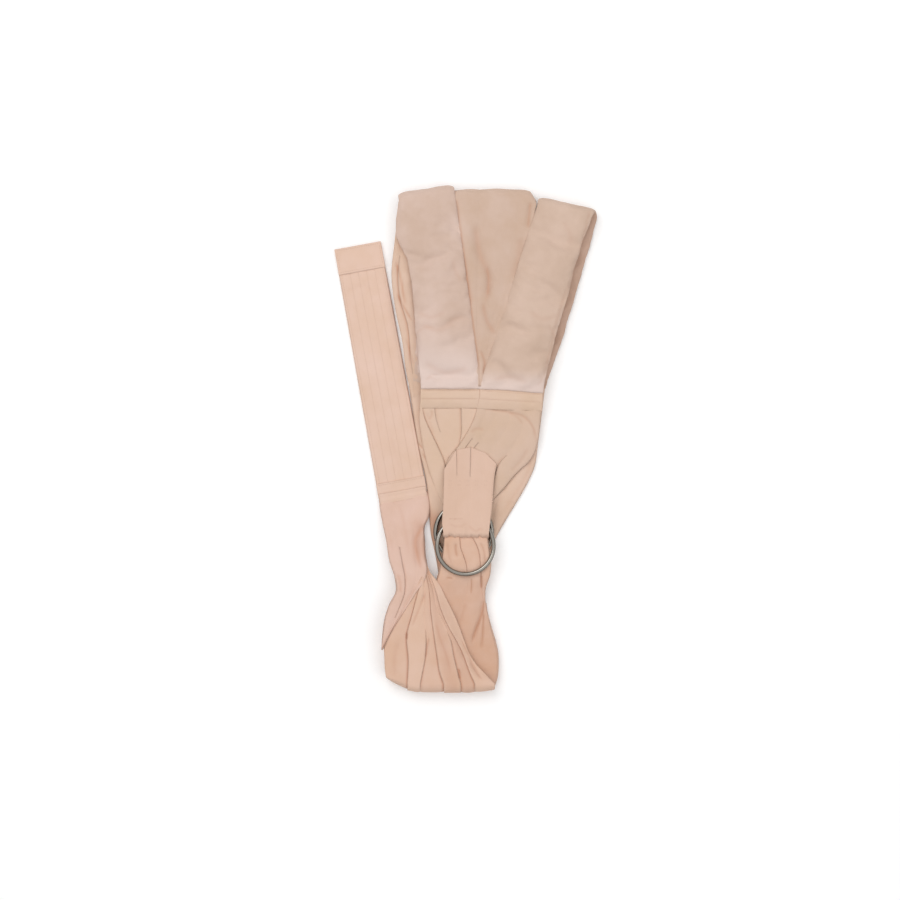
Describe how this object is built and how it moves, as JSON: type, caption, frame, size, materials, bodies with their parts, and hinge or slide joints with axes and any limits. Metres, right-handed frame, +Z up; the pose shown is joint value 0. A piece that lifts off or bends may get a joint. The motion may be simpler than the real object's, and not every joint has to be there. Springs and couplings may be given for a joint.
{
  "type": "soft baby carrier",
  "caption": "Ring sling carrier folded flat: two padded bands and a centre panel folded over, a pleated strap holding two rings, and a gathered tail ending in a quilted strap.",
  "frame": {"origin": "centre of the folded carrier's box, at the table surface that it lies on", "axes": "+Z up out of the table, +Y along the carrier from the tail's fold to the shoulder fold, +X to the right as it is looked down on"},
  "size_m": [0.3806, 0.7365, 0.0274],
  "materials": {
    "band_cloth": "plain woven cotton, matte",
    "lining_cloth": "plain woven cotton, matte",
    "body_cloth": "soft crinkled cotton, matte",
    "strap_cloth": "plain woven cotton, quilted",
    "thread": "polyester sewing thread",
    "foam": "soft polyester padding",
    "interlining": "needled felt interlining",
    "ring_metal": "polished, warm grey anodised"
  },
  "bodies": {
    "carrier": {"left_band_cover": "band_cloth", "left_band_foam": "foam", "left_band_lining": "lining_cloth", "right_band_cover": "band_cloth", "right_band_foam": "foam", "right_band_lining": "lining_cloth", "centre_panel": "body_cloth", "left_cross_band": "band_cloth", "right_cross_band": "band_cloth", "cross_band_stitching": "thread", "left_fan": "body_cloth", "right_fan": "body_cloth", "ring_strap": "strap_cloth", "ring_strap_bartacks": "thread", "back_panel": "body_cloth", "ring_throat": "body_cloth", "lower_run": "body_cloth"},
    "front_ring": {"ring_front": "ring_metal"},
    "rear_ring": {"ring_rear": "ring_metal"},
    "tail_run": {"upper_run": "body_cloth", "tail_neck": "body_cloth"},
    "tail_end": {"tail_bottom_ply": "strap_cloth", "tail_interlining": "interlining", "tail_top_ply": "strap_cloth", "tail_end_hem": "strap_cloth", "tail_seam_band": "strap_cloth", "tail_stitching": "thread"}
  },
  "joints": [
    {"name": "front_ring_lift", "type": "hinge", "parent": "carrier", "child": "front_ring", "pos_m": [-0.001, -0.11525, 0.01695], "axis": [-1, 0, 0], "range_deg": [0, 10]},
    {"name": "rear_ring_turn", "type": "hinge", "parent": "carrier", "child": "rear_ring", "pos_m": [-0.0034, -0.1365, 0.01005], "axis": [0, 0, 1], "continuous": true},
    {"name": "tail_unfold", "type": "hinge", "parent": "carrier", "child": "tail_run", "pos_m": [-0.001, -0.37, 0.013], "axis": [1, 0, 0], "range_deg": [0, 175]},
    {"name": "tail_strap_fold", "type": "hinge", "parent": "tail_run", "child": "tail_end", "pos_m": [-0.09251, -0.0825, 0.006], "axis": [-0.9839, -0.1788, 0], "range_deg": [-150, 0]}
  ]
}
